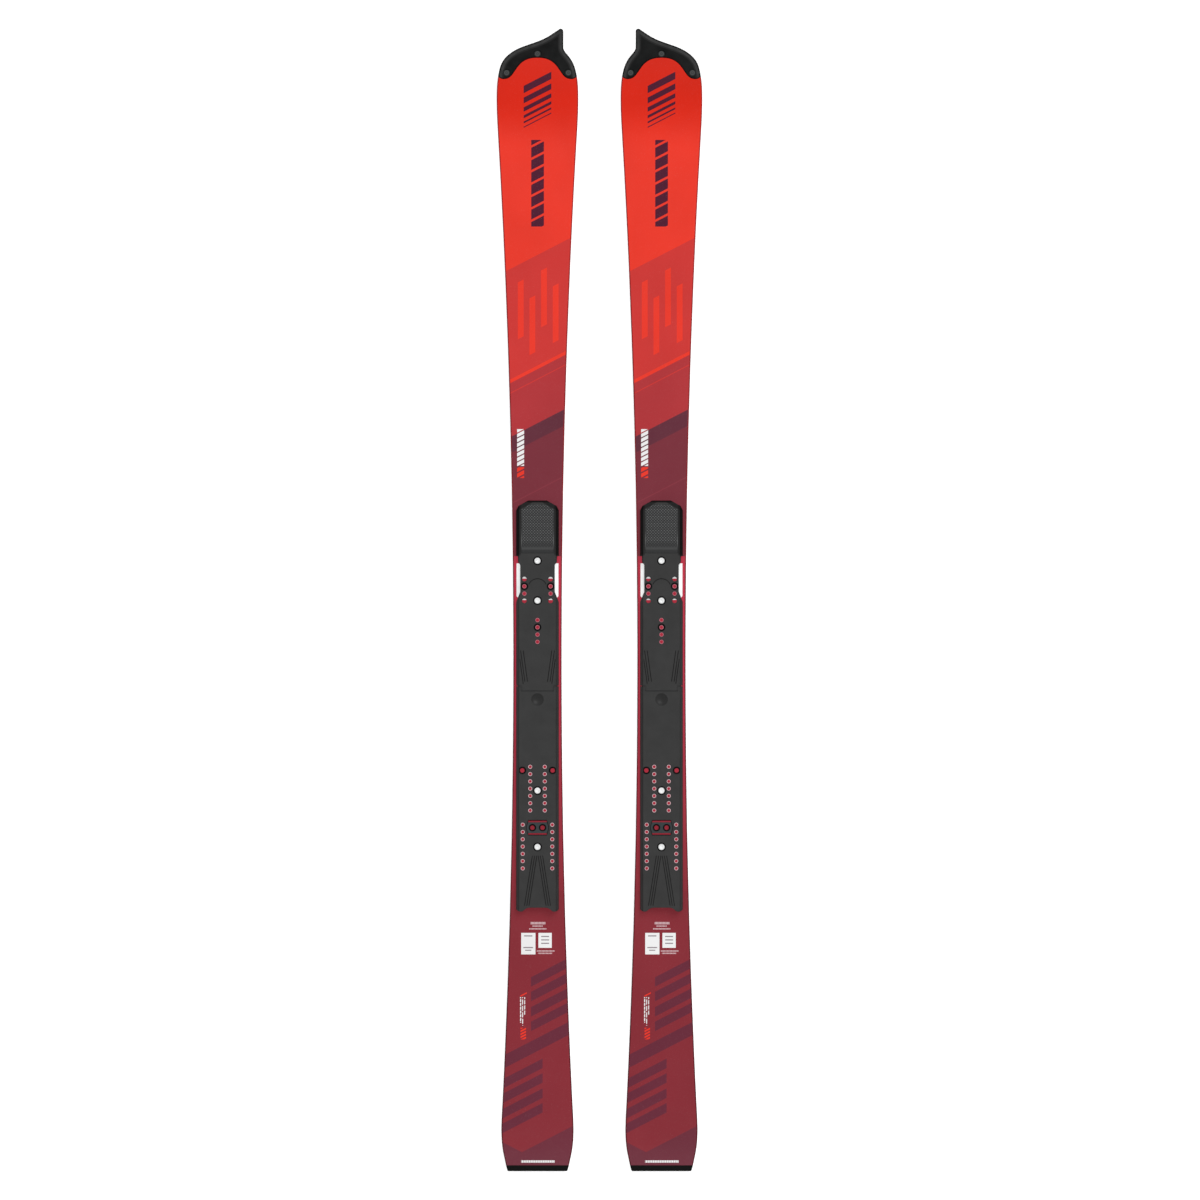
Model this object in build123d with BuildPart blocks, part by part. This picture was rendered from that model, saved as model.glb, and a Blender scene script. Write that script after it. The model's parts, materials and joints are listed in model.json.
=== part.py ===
from build123d import *
from math import sqrt
import os

# A pair of 157 cm slalom race skis with two-piece race plates, lying flat side by side.
# Millimetres. X runs across the pair, Y from the tails to the tips, Z up from the floor.
# Each sub-part is modelled on the centre line of one ski and then placed on both skis.

os.makedirs("parts", exist_ok=True)

# ---------------------------------------------------------------- the pair
ski_length = 1570.0
ski_spacing = 170.4          # between the centre lines of the two skis
half_length = ski_length / 2

# ---------------------------------------------------------------- plan outline
waist_y = -83.0
waist_half = 33.0
sidecut_radius = 12300.0
shovel_y = 690.0             # widest place in front
shovel_half = 56.05
tail_y = -731.0              # widest place at the rear
tail_half = 49.6
tail_corner_half = 43.2      # half width where the tail protector starts
tail_protector_y = -777.0
rear_join_y = -690.0         # the sidecut arc runs from here ...
front_join_y = 640.0         # ... to here
shoulder_y = 719.0           # the tip protector takes over the outline here
shoulder_half = 54.1
tongue_half = 50.0           # laminate tongue that reaches under the tip protector
tongue_tip_y = 757.0
arch_top_y = 745.0           # rear edge of the tip protector, seen from above
lobe_x = 46.8
lobe_y = 715.6

# ---------------------------------------------------------------- side view
contact_rear_y = -735.0
contact_front_y = front_join_y
flat_rear_y = -440.0         # level stretch under the plates
flat_front_y = 150.0
camber = 4.0
tip_rise = 45.0
tail_rise = 6.0
middle_thickness = 14.0
tip_thickness = 6.0
tail_thickness = 7.0
shovel_run = half_length - contact_front_y

# ---------------------------------------------------------------- laminate
base_thickness = 1.4
edge_width = 2.0
edge_height = 1.9
edge_flange = 5.0
titanal_thickness = 0.6
topsheet_thickness = 0.6
sidewall_width = 6.0
bevel = 1.5                  # upper layers stand in from the sidewalls by this much
core_rear_y = -740.0
core_front_y = 650.0
joint_stations = [-560.0, -250.0, 60.0, 380.0]   # cross-joints of core, sidewalls, edges and base
lower_stack = edge_height + titanal_thickness
upper_stack = titanal_thickness + topsheet_thickness
ski_top = camber + middle_thickness

# ---------------------------------------------------------------- plates
plate_half = 29.3
plate_top_half = 25.2
pad_thickness = 2.5
slide_gap = 0.3              # under the floating rear plate
plate_seat = ski_top + pad_thickness
plate_top = 30.0
flank_foot = plate_seat + 2.5
plate_front_y = 136.5
seam_y = -117.9
seam_tongue_y = -124.8
seam_tongue_half = 22.0
seam_gap = 0.8
plate_rear_y = -423.0
plate_lobe_y = -428.4
hole_pitch = 10.0
clearance_hole_r = 3.15
deep_counterbore_r = 5.25
insert_outer_r = 3.1
insert_bore_r = 1.8

screw_head_r = 4.3
screw_head_height = 3.0
screw_shank_r = 2.5
screw_counterbore_r = 6.0
screw_seat = 24.5
screw_bottom = 8.0
front_screws = [(0, 53.8), (0, -1.0)]
rear_screws = [(0, -262.1), (0, -339.6)]
bush_outer_r = 3.2

toe_x = 18.0
toe_first_y = 28.6
toe_rows = [toe_first_y - hole_pitch * i for i in range(4)]
toe_open_holes = [(s * toe_x, y) for s in (-1, 1) for y in (toe_rows[0], toe_rows[3])]
toe_wide_holes = [(-toe_x, toe_rows[1]), (toe_x, toe_rows[1]), (0, -37.7)]
toe_insert_holes = [(s * toe_x, y) for s in (-1, 1) for y in toe_rows[1:3]]
toe_insert_holes += [(0, -27.7 - hole_pitch * i) for i in range(4)]

heel_inner_x = 10.0
heel_outer_x = 20.3
heel_inner_y = -229.4
heel_outer_y = -309.0
heel_insert_holes = [(s * heel_inner_x, heel_inner_y - hole_pitch * i) for s in (-1, 1) for i in range(7)]
heel_insert_holes += [(s * heel_outer_x, heel_outer_y - hole_pitch * i) for s in (-1, 1) for i in range(7)]
heel_wide_holes = [(-20.8, -234.4), (20.8, -234.4)]

guide_y = -313.1
guide_length = 14.8
guide_half = 14.7
guide_end_half = 13.0        # guide and window are narrower at their front and rear ends
guide_flat = 2.0             # half length of their widest stretch
guide_window_length = 21.3
guide_window_half = 15.5
guide_window_end_half = 12.9
guide_top = plate_top - 0.6
guide_holes = [(-7.0, guide_y), (7.0, guide_y)]

rivet_places = [(-42.5, 724.4), (42.5, 724.4), (0, 750.5)]
rivet_head_r = 4.5
rivet_head_height = 1.5
rivet_recess = 0.5
rivet_shank_r = 2.0
rivet_length = 4.0
fit_gap = 0.1                # round pieces in their holes, all round

reach = 75.0                 # half width of a block that is wider than the ski
high = 70.0                  # taller than everything


# ---------------------------------------------------------------- shared shapes
def sidecut_x(y):
    """Half width of the ski on its sidecut arc."""
    return waist_half + sidecut_radius - sqrt(sidecut_radius**2 - (y - waist_y) ** 2)


def side_edge(inset):
    """Right-hand edge of the ski in plan, from the tail protector to the tip protector."""
    rear_join = (sidecut_x(rear_join_y) - inset, rear_join_y)
    front_join = (sidecut_x(front_join_y) - inset, front_join_y)
    rear_slope = (rear_join_y - waist_y) / sidecut_radius
    front_slope = (front_join_y - waist_y) / sidecut_radius
    Spline(
        (tail_corner_half - inset, tail_protector_y),
        (47.4 - inset, -757.0),
        (tail_half - inset, tail_y),
        rear_join,
        tangents=((0.2, 1), (rear_slope, 1)),
    )
    ThreePointArc(rear_join, (waist_half - inset, waist_y), front_join)
    Spline(
        front_join,
        (shovel_half - inset, shovel_y),
        (shoulder_half - inset, shoulder_y),
        tangents=((front_slope, 1), (-0.17, 1)),
    )


def arch_edge(start):
    """Right half of the protector's rear edge, from its outer end to the centre line."""
    Bezier(start, ((start[0] + lobe_x) / 2, lobe_y), (lobe_x, lobe_y))
    Bezier((lobe_x, lobe_y), (27.5, lobe_y), (33.4, arch_top_y), (0, arch_top_y))


def behind_arch():
    """Plan area behind the rear edge of the tip protector."""
    with BuildSketch() as area:
        with BuildLine():
            arch_edge((shoulder_half, shoulder_y))
            Line((shoulder_half, shoulder_y), (reach, shoulder_y))
            Line((reach, shoulder_y), (reach, -half_length))
            Line((reach, -half_length), (0, -half_length))
            mirror(about=Plane.YZ)
        make_face()
    return area.sketch


def plan(inset, under_protector):
    """Plan outline of a laminate layer that stands in from the ski's edge by inset."""
    corner = (shoulder_half - inset, shoulder_y)
    with BuildSketch() as outline:
        with BuildLine():
            Line((0, tail_protector_y), (tail_corner_half - inset, tail_protector_y))
            side_edge(inset)
            if under_protector:
                Line(corner, (tongue_half, shoulder_y))
                TangentArc((0, tongue_tip_y), (tongue_half, shoulder_y), tangent=(1, 0))
            else:
                Line(corner, (0, half_length))
            mirror(about=Plane.YZ)
        make_face()
        if not under_protector:
            add(behind_arch(), mode=Mode.INTERSECT)
    return outline.sketch


def long_line(share, lift):
    """Lengthwise line in side view: share 0 is the running surface, share 1 the top."""
    tail = lift + share * tail_thickness
    middle = lift + share * middle_thickness + camber
    tip = lift + share * tip_thickness
    rear_ramp = (contact_rear_y + flat_rear_y) / 2
    front_ramp = (contact_front_y + flat_front_y) / 2
    Bezier(
        (-half_length, tail + tail_rise),
        ((contact_rear_y - half_length) / 2, tail),
        (contact_rear_y, tail),
    )
    Bezier((contact_rear_y, tail), (rear_ramp, tail), (rear_ramp, middle), (flat_rear_y, middle))
    Line((flat_rear_y, middle), (flat_front_y, middle))
    Bezier((flat_front_y, middle), (front_ramp, middle), (front_ramp, tip), (contact_front_y, tip))
    Bezier(
        (contact_front_y, tip),
        ((contact_front_y + half_length) / 2, tip),
        (half_length, tip + tip_rise),
    )


def slab(lower, upper):
    """Side-view profile between two lengthwise lines, each given as (share, lift)."""
    with BuildSketch(Plane.YZ.offset(-reach)) as profile:
        with BuildLine():
            long_line(*lower)
            long_line(*upper)
            for y, rise, thickness in (
                (-half_length, tail_rise, tail_thickness),
                (half_length, tip_rise, tip_thickness),
            ):
                Line(
                    (y, rise + lower[0] * thickness + lower[1]),
                    (y, rise + upper[0] * thickness + upper[1]),
                )
        make_face()
    return profile.sketch


def outer_rim(piece):
    """Upper edges of a laminate piece that run along the ski's outline."""
    crown = [edge for face in piece.faces() if face.normal_at().Z > 0.5 for edge in face.edges()]
    long_edges = [edge for edge in crown if edge.length > sidewall_width + 1]
    outline_band = 5.0
    return [
        edge for edge in long_edges
        if abs(edge.center().X) > sidecut_x(edge.center().Y) - outline_band
    ]


def cut_to_lengths(stations):
    """Cut the current part square across at each station, so that its lengths meet face to face."""
    for y in stations:
        split(bisect_by=Plane.XZ.offset(-y), keep=Keep.BOTH)


def rivet_plane(x, y):
    """Plane on the top surface of the shovel, square to it."""
    slope = 2 * tip_rise * (y - contact_front_y) / shovel_run**2
    z = tip_thickness + tip_rise * ((y - contact_front_y) / shovel_run) ** 2
    return Plane(origin=(x, y, z), z_dir=(0, -slope, 1))


def rivet_bores(radius, depth):
    """Round bores at the rivets, square to the shovel and open above its curved surface."""
    mouth = 2.0
    with BuildPart() as bores:
        for x, y in rivet_places:
            with BuildSketch(rivet_plane(x, y).offset(mouth)):
                Circle(radius)
            extrude(amount=-mouth - depth)
    return bores.part


def groove(start, end, width):
    """Straight round-ended groove between two points, added to the current sketch."""
    middle = ((start[0] + end[0]) / 2, (start[1] + end[1]) / 2)
    SlotCenterPoint(middle, end, width)


def guide_outline(end_half, middle_half, length):
    """Eight-sided outline of the guide block, or of the window that it stands in."""
    with BuildSketch() as outline:
        with BuildLine():
            Polyline(
                (0, guide_y + length / 2),
                (end_half, guide_y + length / 2),
                (middle_half, guide_y + guide_flat),
                (middle_half, guide_y - guide_flat),
                (end_half, guide_y - length / 2),
                (0, guide_y - length / 2),
            )
            mirror(about=Plane.YZ)
        make_face()
    return outline.sketch


def write_pair(piece, name):
    """Write a finished sub-part at its place on the left ski, and mirrored on the right ski."""
    left = piece.moved(Location((-ski_spacing / 2, 0, 0)))
    left.label = f"left_{name}"
    export_step(left, f"parts/left_{name}.step")
    right = mirror(piece, about=Plane.YZ).moved(Location((ski_spacing / 2, 0, 0)))
    right.label = f"right_{name}"
    export_step(right, f"parts/right_{name}.step")


# ---------------------------------------------------------------- laminated ski
base_line = (0, 0)
base_upper = (0, base_thickness)
edge_upper = (0, edge_height)
flange_lower = (0, edge_height - 0.5)
titanal_upper = (0, lower_stack)
core_upper = (1, -upper_stack)
topsheet_lower = (1, -topsheet_thickness)
top_line = (1, 0)

# Running base: the sintered sheet between the steel edges.
with BuildPart() as running_base:
    extrude(slab(base_line, base_upper), amount=2 * reach)
    extrude(plan(edge_width, True), amount=high, mode=Mode.INTERSECT)
    cut_to_lengths(joint_stations + [core_front_y])
write_pair(running_base.part, "running_base")

# Steel edges: a running edge with a flat flange that is bonded in over the base.
with BuildPart() as steel_edges:
    extrude(slab(base_line, edge_upper), amount=2 * reach)
    with BuildSketch():
        add(plan(0, True))
        add(plan(edge_width + edge_flange, True), mode=Mode.SUBTRACT)
        with Locations((0, (tail_protector_y + shoulder_y) / 2)):
            Rectangle(2 * reach, shoulder_y - tail_protector_y, mode=Mode.INTERSECT)
    extrude(amount=high, mode=Mode.INTERSECT)
    add(running_base.part, mode=Mode.SUBTRACT)
    cut_to_lengths(joint_stations + [core_front_y])
write_pair(steel_edges.part, "steel_edges")

# Glass-fibre layer that fills the space between the two edge flanges.
with BuildPart() as base_fibre:
    extrude(slab(base_upper, edge_upper), amount=2 * reach)
    extrude(plan(edge_width + edge_flange, True), amount=high, mode=Mode.INTERSECT)
    add(rivet_bores(rivet_shank_r + fit_gap, rivet_length + fit_gap), mode=Mode.SUBTRACT)
write_pair(base_fibre.part, "base_fibre")

# Lower aluminium-alloy sheet, over the edges and the fibre layer.
with BuildPart() as lower_titanal:
    extrude(slab(edge_upper, titanal_upper), amount=2 * reach)
    extrude(plan(0, True), amount=high, mode=Mode.INTERSECT)
    add(rivet_bores(rivet_shank_r + fit_gap, rivet_length + fit_gap), mode=Mode.SUBTRACT)
write_pair(lower_titanal.part, "lower_titanal")

# Laminated wood core between the sidewalls, drilled for the plate screws.
with BuildPart() as wood_core:
    extrude(slab(titanal_upper, core_upper), amount=2 * reach)
    with BuildSketch():
        add(plan(sidewall_width, True))
        with Locations((0, (core_rear_y + core_front_y) / 2)):
            Rectangle(2 * reach, core_front_y - core_rear_y, mode=Mode.INTERSECT)
    extrude(amount=high, mode=Mode.INTERSECT)
    with BuildSketch(Plane.XY.offset(screw_bottom - fit_gap)):
        with Locations(front_screws + rear_screws):
            Circle(screw_shank_r + fit_gap)
    extrude(amount=high, mode=Mode.SUBTRACT)
    cut_to_lengths(joint_stations)
write_pair(wood_core.part, "wood_core")

# Sidewalls: two strips beside the core, bevelled along their upper outer edges.
with BuildPart() as sidewalls:
    extrude(slab(titanal_upper, core_upper), amount=2 * reach)
    with BuildSketch():
        add(plan(0, True))
        add(plan(sidewall_width, True), mode=Mode.SUBTRACT)
        with Locations((0, (core_rear_y + core_front_y) / 2)):
            Rectangle(2 * reach, core_front_y - core_rear_y, mode=Mode.INTERSECT)
    extrude(amount=high, mode=Mode.INTERSECT)
    chamfer(outer_rim(sidewalls), bevel)
    cut_to_lengths(joint_stations)
write_pair(sidewalls.part, "sidewalls")

# Plastic spacer in front of the core, up to the tip protector.
with BuildPart() as tip_spacer:
    extrude(slab(titanal_upper, core_upper), amount=2 * reach)
    with BuildSketch():
        add(plan(0, False))
        with Locations((0, (core_front_y + half_length) / 2)):
            Rectangle(2 * reach, half_length - core_front_y, mode=Mode.INTERSECT)
    extrude(amount=high, mode=Mode.INTERSECT)
    chamfer(outer_rim(tip_spacer), bevel)
write_pair(tip_spacer.part, "tip_spacer")

# Plastic spacer behind the core, up to the tail protector.
with BuildPart() as tail_spacer:
    extrude(slab(titanal_upper, core_upper), amount=2 * reach)
    with BuildSketch():
        add(plan(0, False))
        with Locations((0, (core_rear_y - half_length) / 2)):
            Rectangle(2 * reach, half_length + core_rear_y, mode=Mode.INTERSECT)
    extrude(amount=high, mode=Mode.INTERSECT)
    chamfer(outer_rim(tail_spacer), bevel)
write_pair(tail_spacer.part, "tail_spacer")

# Upper aluminium-alloy sheet.
with BuildPart() as upper_titanal:
    extrude(slab(core_upper, topsheet_lower), amount=2 * reach)
    extrude(plan(bevel, False), amount=high, mode=Mode.INTERSECT)
    with BuildSketch():
        with Locations(front_screws + rear_screws):
            Circle(screw_shank_r + fit_gap)
    extrude(amount=high, mode=Mode.SUBTRACT)
write_pair(upper_titanal.part, "upper_titanal")

# Printed topsheet.
with BuildPart() as topsheet:
    extrude(slab(topsheet_lower, top_line), amount=2 * reach)
    extrude(plan(bevel, False), amount=high, mode=Mode.INTERSECT)
    with BuildSketch():
        with Locations(front_screws + rear_screws):
            Circle(screw_shank_r + fit_gap)
    extrude(amount=high, mode=Mode.SUBTRACT)
write_pair(topsheet.part, "topsheet")

# ---------------------------------------------------------------- tip and tail protectors
# Moulded tip with a spike on the side that faces the other ski.
spike_x = 35.4
spike_foot_y = 758.0
protector_rear_y = 713.0
protector_rear_half = 54.9
with BuildPart() as tip_protector:
    extrude(slab(base_line, top_line), amount=2 * reach)
    with BuildSketch():
        with BuildLine():
            Line((-protector_rear_half, protector_rear_y), (protector_rear_half, protector_rear_y))
            Line((protector_rear_half, protector_rear_y), (shoulder_half, shoulder_y))
            Spline(
                (shoulder_half, shoulder_y),
                (48.6, 738),
                (41.2, 749),
                (spike_x, spike_foot_y),
                tangents=((-0.17, 1), (-0.3, 1)),
            )
            Line((spike_x, spike_foot_y), (spike_x, 781.5))
            ThreePointArc((spike_x, 781.5), (33.0, 784.6), (29.0, 783.4))
            Spline(
                (29.0, 783.4),
                (14.6, 774),
                (-12.3, 763),
                (-36.1, 752),
                (-47.2, 741),
                (-shoulder_half, shoulder_y),
                tangents=((-1, -0.62), (-0.17, -1)),
            )
            Line((-shoulder_half, shoulder_y), (-protector_rear_half, protector_rear_y))
        make_face()
    extrude(amount=high, mode=Mode.INTERSECT)
    extrude(behind_arch(), amount=high, mode=Mode.SUBTRACT)
    for layer in (running_base, steel_edges, base_fibre, lower_titanal):
        add(layer.part, mode=Mode.SUBTRACT)
    add(rivet_bores(rivet_head_r + fit_gap, rivet_recess), mode=Mode.SUBTRACT)
    add(rivet_bores(rivet_shank_r + fit_gap, rivet_length + fit_gap), mode=Mode.SUBTRACT)
write_pair(tip_protector.part, "tip_protector")

# Three domed rivets that hold the tip protector on the laminate tongue.
with BuildPart() as tip_rivets:
    for x, y in rivet_places:
        with BuildSketch(rivet_plane(x, y).offset(-rivet_recess)):
            Circle(rivet_head_r)
        extrude(amount=rivet_head_height)
        with BuildSketch(rivet_plane(x, y)):
            Circle(rivet_shank_r)
        extrude(amount=-rivet_length)
write_pair(tip_rivets.part, "tip_rivets")

# Moulded strip that closes the tail.
tail_end_half = 41.0
tail_corner_r = 2.0
with BuildPart() as tail_protector:
    extrude(slab(base_line, top_line), amount=2 * reach)
    with BuildSketch():
        with BuildLine():
            Polyline(
                (0, tail_protector_y),
                (tail_corner_half, tail_protector_y),
                (tail_end_half, -half_length),
                (0, -half_length),
            )
            mirror(about=Plane.YZ)
        make_face()
    extrude(amount=high, mode=Mode.INTERSECT)
    fillet(tail_protector.edges().filter_by(Axis.Z).group_by(Axis.Y)[0], tail_corner_r)
write_pair(tail_protector.part, "tail_protector")

# ---------------------------------------------------------------- pads between ski and plates
# White rigid shim under the toe area, with two slots beside the middle screw.
shim_front_y = 50.2
shim_rear_y = -0.2
shim_half = 28.8
shim_side_rear_y = 5.2       # the rear corners are cut off from here ...
shim_rear_half = 24.0        # ... to here
shim_slot_front_y = 29.2
shim_slot_rear_y = 3.2
shim_slot_half = 3.6
with BuildPart() as toe_shim:
    with BuildSketch(Plane.XY.offset(ski_top)):
        with BuildLine():
            Polyline(
                (0, shim_front_y),
                (shim_half, shim_front_y),
                (shim_half, shim_side_rear_y),
                (shim_rear_half, shim_rear_y),
                (0, shim_rear_y),
            )
            mirror(about=Plane.YZ)
        make_face()
        with Locations([(s * toe_x, (shim_slot_front_y + shim_slot_rear_y) / 2) for s in (-1, 1)]):
            Rectangle(2 * shim_slot_half, shim_slot_front_y - shim_slot_rear_y, mode=Mode.SUBTRACT)
        with Locations(front_screws[1]):
            Circle(screw_shank_r + slide_gap, mode=Mode.SUBTRACT)
    extrude(amount=pad_thickness)
write_pair(toe_shim.part, "toe_shim")

# Elastomer pads under the front plate, in front of the shim and behind it as far as the seam.
pad_half = 27.0
rear_pad_front_y = -127.0
rear_pad_rear_y = -419.0
middle_pad_front_y = -8.0
middle_pad_rear_y = rear_pad_front_y + 0.3
with BuildPart() as front_pad:
    with BuildSketch(Plane.XY.offset(ski_top)):
        with BuildLine():
            Polyline((0, 134), (12, 134), (24.5, 126), (pad_half, 121), (pad_half, 59), (0, 59))
            mirror(about=Plane.YZ)
        make_face()
        with Locations((0, (middle_pad_front_y + middle_pad_rear_y) / 2)):
            Rectangle(2 * pad_half, middle_pad_front_y - middle_pad_rear_y)
        with Locations((0, -42.7)):
            SlotOverall(44, 8, rotation=90, mode=Mode.SUBTRACT)
    extrude(amount=pad_thickness)
write_pair(front_pad.part, "front_pad")

# Elastomer pad under the floating rear plate, open under every hole.
pad_slot_width = 8.0
pad_slot_length = 6 * hole_pitch + pad_slot_width
with BuildPart() as rear_pad:
    with BuildSketch(Plane.XY.offset(ski_top)):
        with Locations((0, (rear_pad_front_y + rear_pad_rear_y) / 2)):
            Rectangle(2 * pad_half, rear_pad_front_y - rear_pad_rear_y)
        with Locations([(s * heel_inner_x, heel_inner_y - 3 * hole_pitch) for s in (-1, 1)]):
            SlotOverall(pad_slot_length, pad_slot_width, rotation=90, mode=Mode.SUBTRACT)
        with Locations([(s * heel_outer_x, heel_outer_y - 3 * hole_pitch) for s in (-1, 1)]):
            SlotOverall(pad_slot_length, pad_slot_width, rotation=90, mode=Mode.SUBTRACT)
        with Locations(heel_wide_holes + rear_screws):
            Circle(pad_slot_width / 2, mode=Mode.SUBTRACT)
        with Locations((0, guide_y)):
            Rectangle(2 * guide_window_half, guide_window_length, mode=Mode.SUBTRACT)
    extrude(amount=pad_thickness)
write_pair(rear_pad.part, "rear_pad")

# ---------------------------------------------------------------- plates
def plate_section(seat):
    """Cross-section of a plate: upright foot, then flanks that slope in to the flat top."""
    with BuildSketch(Plane.XZ.offset(-plate_front_y)) as section:
        with BuildLine():
            Polyline(
                (0, seat),
                (plate_half, seat),
                (plate_half, flank_foot),
                (plate_top_half, plate_top),
                (0, plate_top),
            )
            mirror(about=Plane.YZ)
        make_face()
    return section.sketch


grip_half = 22.6
grip_outline = [(0, 131), (12, 131), (grip_half, 124.5), (grip_half, 64), (0, 64)]
grip_depth = 1.6
groove_width = 1.0
groove_depth = 0.6
arc_centre = (0, 16)
arc_radius = 13.0

# Front plate: fixed by two screws, with the toe drilling and a recess for the grip pad.
with BuildPart() as front_plate:
    extrude(plate_section(plate_seat), amount=plate_front_y - seam_tongue_y)
    with BuildSketch():
        with BuildLine():
            Polyline(
                (0, plate_front_y),
                (12.7, plate_front_y),
                (26.2, 129.0),
                (plate_half, 123.0),
                (plate_half, 60.0),
                (26.7, 60.0),
                (26.7, 52.0),
                (23.7, 48.0),
                (23.7, 11.0),
                (plate_half, -3.0),
                (plate_half, seam_y),
                (seam_tongue_half, seam_y),
                (seam_tongue_half, seam_tongue_y),
                (0, seam_tongue_y),
            )
            mirror(about=Plane.YZ)
        make_face()
    extrude(amount=high, mode=Mode.INTERSECT)
    chamfer(front_plate.faces().sort_by(Axis.Z)[-1].edges().group_by(Axis.Y)[-1], 3.0)
    with BuildSketch(Plane.XY.offset(plate_top - grip_depth)):
        with BuildLine():
            Polyline(grip_outline)
            mirror(about=Plane.YZ)
        make_face()
    extrude(amount=grip_depth, mode=Mode.SUBTRACT)
    with BuildSketch(Plane.XY.offset(plate_top - groove_depth)):
        SlotArc(CenterArc(arc_centre, arc_radius, 25, 130, mode=Mode.PRIVATE), groove_width)
        for s in (-1, 1):
            groove((s * 19.6, -70), (s * 13.8, -112), groove_width)
            groove((s * 23.2, -70), (s * 17.4, -112), groove_width)
            groove((s * 24.3, -82), (s * 19.7, -115), groove_width)
    extrude(amount=groove_depth, mode=Mode.SUBTRACT)
    with Locations([(x, y, plate_top) for x, y in toe_open_holes + toe_insert_holes]):
        Hole(clearance_hole_r)
    with Locations([(x, y, plate_top) for x, y in toe_wide_holes]):
        CounterBoreHole(clearance_hole_r, deep_counterbore_r, 1.5)
    with Locations([(x, y, plate_top) for x, y in front_screws]):
        CounterBoreHole(screw_shank_r + fit_gap, screw_counterbore_r, plate_top - screw_seat)
write_pair(front_plate.part, "front_plate")

# Grip pad in the recess of the front plate.
with BuildPart() as grip_pad:
    with BuildSketch(Plane.XY.offset(plate_top - grip_depth)):
        with BuildLine():
            Polyline(grip_outline)
            mirror(about=Plane.YZ)
        make_face()
        offset(amount=-fit_gap)
    extrude(amount=grip_depth - 0.6)
write_pair(grip_pad.part, "grip_pad")

# Rear plate: floats on the guide block and on two bushed screws as the ski bends.
rear_seat = plate_seat + slide_gap
dish_y = -137.0              # round thumb dish behind the seam
dish_sphere_r = 12.5
dish_depth = 3.5
with BuildPart() as rear_plate:
    extrude(plate_section(rear_seat), amount=plate_front_y - plate_lobe_y)
    with BuildSketch():
        with BuildLine():
            Polyline(
                (0, seam_tongue_y - seam_gap),
                (seam_tongue_half + 0.4, seam_tongue_y - seam_gap),
                (seam_tongue_half + 0.4, seam_y - seam_gap),
                (plate_half, seam_y - seam_gap),
                (plate_half, -425.0),
            )
            Spline(
                (plate_half, -425.0),
                (22.0, plate_lobe_y),
                (9.5, plate_rear_y),
                tangents=((-0.6, -1), (-1, 0)),
            )
            Line((9.5, plate_rear_y), (0, plate_rear_y))
            mirror(about=Plane.YZ)
        make_face()
    extrude(amount=high, mode=Mode.INTERSECT)
    with BuildSketch(Plane.XY.offset(plate_top - groove_depth)):
        for s in (-1, 1):
            groove((s * 1.0, -352), (s * 11.7, -420), groove_width)
            groove((s * 4.0, -352), (s * 14.7, -420), groove_width)
            groove((s * 7.1, -352), (s * 17.8, -420), groove_width)
    extrude(amount=groove_depth, mode=Mode.SUBTRACT)
    with Locations((0, dish_y, plate_top + dish_sphere_r - dish_depth)):
        Sphere(dish_sphere_r, mode=Mode.SUBTRACT)
    with Locations([(x, y, plate_top) for x, y in heel_insert_holes]):
        Hole(clearance_hole_r)
    with Locations([(x, y, plate_top) for x, y in heel_wide_holes]):
        CounterBoreHole(clearance_hole_r, deep_counterbore_r, 1.5)
    with BuildSketch(Plane.XY.offset(screw_seat)):
        with Locations(rear_screws):
            Circle(screw_counterbore_r)
    extrude(amount=high, mode=Mode.SUBTRACT)
    with BuildSketch():
        with Locations(rear_screws):
            SlotOverall(10.0, 7.0, rotation=90)
        add(guide_outline(guide_window_end_half, guide_window_half, guide_window_length))
    extrude(amount=high, mode=Mode.SUBTRACT)
write_pair(rear_plate.part, "rear_plate")

# Guide block: bonded to the ski, it keeps the rear plate in line while it floats.
with BuildPart() as guide_block:
    with BuildSketch(Plane.XY.offset(ski_top)):
        add(guide_outline(guide_end_half, guide_half, guide_length))
    extrude(amount=guide_top - ski_top)
    with Locations([(x, y, guide_top) for x, y in guide_holes]):
        CounterBoreHole(clearance_hole_r, 5.1, 2.0)
write_pair(guide_block.part, "guide_block")

# ---------------------------------------------------------------- fasteners
# Sleeves round the rear screws: the heads clamp them, not the floating plate.
with BuildPart() as slide_bushes:
    with BuildSketch(Plane.XY.offset(ski_top)):
        with Locations(rear_screws):
            Circle(bush_outer_r)
            Circle(screw_shank_r + fit_gap, mode=Mode.SUBTRACT)
    extrude(amount=screw_seat + slide_gap - ski_top)
write_pair(slide_bushes.part, "slide_bushes")

# Four plate screws: flat round head with a hexagon socket, plain shank down into the core.
socket_r = 2.3
socket_depth = 1.8
with BuildPart() as plate_screws:
    for places, seat in ((front_screws, screw_seat), (rear_screws, screw_seat + slide_gap)):
        with BuildSketch(Plane.XY.offset(seat)):
            with Locations(places):
                Circle(screw_head_r)
        extrude(amount=screw_head_height)
        with BuildSketch(Plane.XY.offset(screw_bottom)):
            with Locations(places):
                Circle(screw_shank_r)
        extrude(amount=seat - screw_bottom)
        with BuildSketch(Plane.XY.offset(seat + screw_head_height - socket_depth)):
            with Locations(places):
                RegularPolygon(socket_r, 6)
        extrude(amount=socket_depth, mode=Mode.SUBTRACT)
    head_rims = plate_screws.edges().filter_by(GeomType.CIRCLE).group_by(SortBy.RADIUS)[-1]
    chamfer(head_rims.filter_by(lambda edge: edge.center().Z > screw_seat + screw_head_height / 2), 0.6)
write_pair(plate_screws.part, "plate_screws")


def threaded_inserts(places, foot):
    """Sleeves with a plain bore, standing in the plate just below its top face."""
    with BuildPart() as sleeves:
        with BuildSketch(Plane.XY.offset(foot)):
            with Locations(places):
                Circle(insert_outer_r)
                Circle(insert_bore_r, mode=Mode.SUBTRACT)
        extrude(amount=plate_top - 0.2 - foot)
    return sleeves.part


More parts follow.
